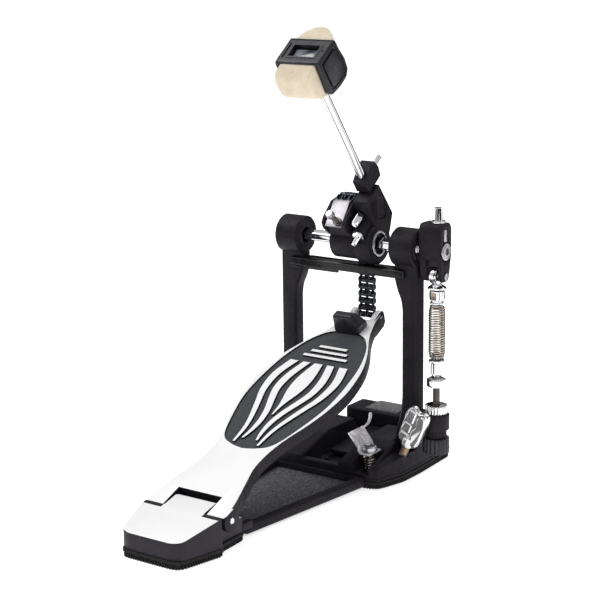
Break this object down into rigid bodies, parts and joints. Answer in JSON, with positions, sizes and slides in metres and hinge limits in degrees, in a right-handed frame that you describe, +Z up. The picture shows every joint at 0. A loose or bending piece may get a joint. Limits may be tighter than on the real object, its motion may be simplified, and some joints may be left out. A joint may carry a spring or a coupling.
{
  "type": "bass drum pedal",
  "caption": "Floor pedal for a bass drum: hinged footboard, chain over a cam, sprung shaft with a felt beater, twin uprights and a hoop clamp.",
  "frame": {"origin": "on the floor, below the middle of the drive shaft, on the pedal's centre line", "axes": "+X to the player's right, +Y towards the drum, +Z up; the drive shaft runs along X"},
  "size_m": [0.1656, 0.3573, 0.3852],
  "materials": {
    "black_casting": "black powder coat over cast alloy, fine grain, slight sheen",
    "gloss_bar": "gloss black enamel over steel",
    "grey_floor": "dark grey textured coat",
    "silver_board": "satin cast aluminium",
    "chrome_hardware": "bright chrome plate over steel",
    "spring_wire": "warm bright spring steel",
    "chain_steel": "blued roller chain steel",
    "sole_rubber": "matt black rubber",
    "grip_pad": "dark grey textured grip pad",
    "black_plastic": "satin black moulded plastic",
    "insert_plastic": "smoky grey glossy insert",
    "beater_felt": "dense cream felt"
  },
  "bodies": {
    "frame": {"front_rubber_sole": "sole_rubber", "heel_rubber_sole": "sole_rubber", "front_casting": "black_casting", "base_plate": "black_casting", "base_screw_left": "black_casting", "base_screw_right": "black_casting", "heel_block": "silver_board", "hinge_pin": "chrome_hardware", "left_post": "black_casting", "right_post": "black_casting", "left_bearing": "chrome_hardware", "right_bearing": "chrome_hardware", "cross_bar": "gloss_bar", "bar_screw_left": "chrome_hardware", "bar_screw_right": "chrome_hardware", "fulcrum_screw": "chrome_hardware", "fulcrum_spring": "spring_wire", "spring_rod": "chrome_hardware", "spring_rod_nut": "chrome_hardware"},
    "footboard": {"footboard": "silver_board", "footboard_pad": "grip_pad", "toe_stop": "black_plastic", "chain_pin": "chrome_hardware"},
    "chain_run": {"chain_run": "chain_steel"},
    "shaft": {"drive_shaft": "chrome_hardware", "chain_cam": "black_casting", "chain_wrap": "chain_steel", "chain_clamp_plate": "chrome_hardware", "chain_clamp_screw": "chrome_hardware", "beater_holder": "black_casting", "holder_ring": "chrome_hardware", "rod_key_screw": "chrome_hardware", "hub_key_screw": "chrome_hardware", "rod_clamp": "black_casting", "clamp_key_screw": "chrome_hardware", "spring_rocker": "black_casting", "rocker_end_screw": "chrome_hardware", "rocker_pin": "chrome_hardware", "rocker_key_screw": "chrome_hardware"},
    "chain_link_4": {"chain_link_4": "chain_steel"},
    "chain_link_3": {"chain_link_3": "chain_steel"},
    "chain_link_2": {"chain_link_2": "chain_steel"},
    "chain_link_1": {"chain_link_1": "chain_steel"},
    "spring_lower": {"lower_shackle": "chrome_hardware", "coil_spring": "spring_wire"},
    "spring_upper": {"spring_eye": "chrome_hardware", "upper_shackle": "chrome_hardware"},
    "tension_knob": {"tension_knob": "black_plastic"},
    "lock_nut": {"lock_nut": "chrome_hardware"},
    "hoop_jaw": {"hoop_jaw": "black_casting", "jaw_strap": "chrome_hardware"},
    "wing_bolt": {"wing_bolt": "chrome_hardware"},
    "beater_rod": {"beater_rod": "chrome_hardware"},
    "beater_head": {"beater_shell": "black_plastic", "beater_insert": "insert_plastic", "front_felt": "beater_felt", "rear_felt": "beater_felt"}
  },
  "joints": [
    {"name": "shaft_turn", "type": "hinge", "parent": "frame", "child": "shaft", "pos_m": [0, 0, 0.2], "axis": [1, 0, 0], "range_deg": [-50, 0], "stiffness_Nm_per_rad": 2, "springref_deg": 5.73},
    {"name": "footboard_tilt", "type": "hinge", "parent": "frame", "child": "footboard", "pos_m": [0, -0.2263, 0.0253], "axis": [1, 0, 0], "range_deg": [-6, 0]},
    {"name": "chain_run_swing", "type": "hinge", "parent": "footboard", "child": "chain_run", "pos_m": [0, 0.025, 0.129], "axis": [1, 0, 0], "range_deg": [0, 6]},
    {"name": "chain_link_4_bend", "type": "hinge", "parent": "shaft", "child": "chain_link_4", "pos_m": [0, 0.01421, 0.23309], "axis": [1, 0, 0], "range_deg": [0, 4.6]},
    {"name": "chain_link_3_bend", "type": "hinge", "parent": "chain_link_4", "child": "chain_link_3", "pos_m": [0, 0.01874, 0.22865], "axis": [1, 0, 0], "range_deg": [0, 13.1]},
    {"name": "chain_link_2_bend", "type": "hinge", "parent": "chain_link_3", "child": "chain_link_2", "pos_m": [0, 0.02216, 0.22329], "axis": [1, 0, 0], "range_deg": [0, 13.1]},
    {"name": "chain_link_1_bend", "type": "hinge", "parent": "chain_link_2", "child": "chain_link_1", "pos_m": [0, 0.02428, 0.21731], "axis": [1, 0, 0], "range_deg": [0, 13.1]},
    {"name": "spring_swing", "type": "hinge", "parent": "frame", "child": "spring_lower", "pos_m": [0.0846, 0.001, 0.09], "axis": [1, 0, 0], "range_deg": [0, 10]},
    {"name": "spring_stretch", "type": "slide", "parent": "spring_lower", "child": "spring_upper", "axis": [0, 0, 1], "range_m": [0, 0.008], "deforming": ["coil_spring"]},
    {"name": "beater_height", "type": "slide", "parent": "shaft", "child": "beater_rod", "axis": [0, -0.5976, 0.8018], "range_m": [-0.006, 0.025]},
    {"name": "beater_turn", "type": "hinge", "parent": "beater_rod", "child": "beater_head", "pos_m": [0.019, -0.0953, 0.3694], "axis": [0, -0.5976, 0.8018], "continuous": true},
    {"name": "tension_knob_turn", "type": "hinge", "parent": "frame", "child": "tension_knob", "pos_m": [0.0846, 0.001, 0.031], "axis": [0, 0, 1], "continuous": true},
    {"name": "lock_nut_turn", "type": "hinge", "parent": "frame", "child": "lock_nut", "pos_m": [0.0846, 0.001, 0.065], "axis": [0, 0, 1], "continuous": true},
    {"name": "wing_turn", "type": "hinge", "parent": "frame", "child": "wing_bolt", "pos_m": [0.0618, -0.0145, 0.0235], "axis": [0.4514, -0.1917, 0.8715], "range_deg": [-250, 630]},
    {"name": "jaw_tilt", "type": "hinge", "parent": "frame", "child": "hoop_jaw", "pos_m": [0, -0.034, 0.028], "axis": [1, 0, 0], "range_deg": [-2.4, 6]}
  ],
  "couplings": [
    {"joint": "footboard_tilt", "follows": "shaft_turn", "ratio": 0.119},
    {"joint": "chain_run_swing", "follows": "shaft_turn", "ratio": -0.119},
    {"joint": "spring_swing", "follows": "shaft_turn", "ratio": -0.19},
    {"joint": "spring_stretch", "follows": "shaft_turn", "m_per_rad": -0.0085},
    {"joint": "chain_link_4_bend", "follows": "shaft_turn", "ratio": -0.09},
    {"joint": "chain_link_3_bend", "follows": "shaft_turn", "ratio": -0.26},
    {"joint": "chain_link_2_bend", "follows": "shaft_turn", "ratio": -0.26},
    {"joint": "chain_link_1_bend", "follows": "shaft_turn", "ratio": -0.26},
    {"joint": "jaw_tilt", "follows": "wing_turn", "ratio": 0.0095}
  ]
}
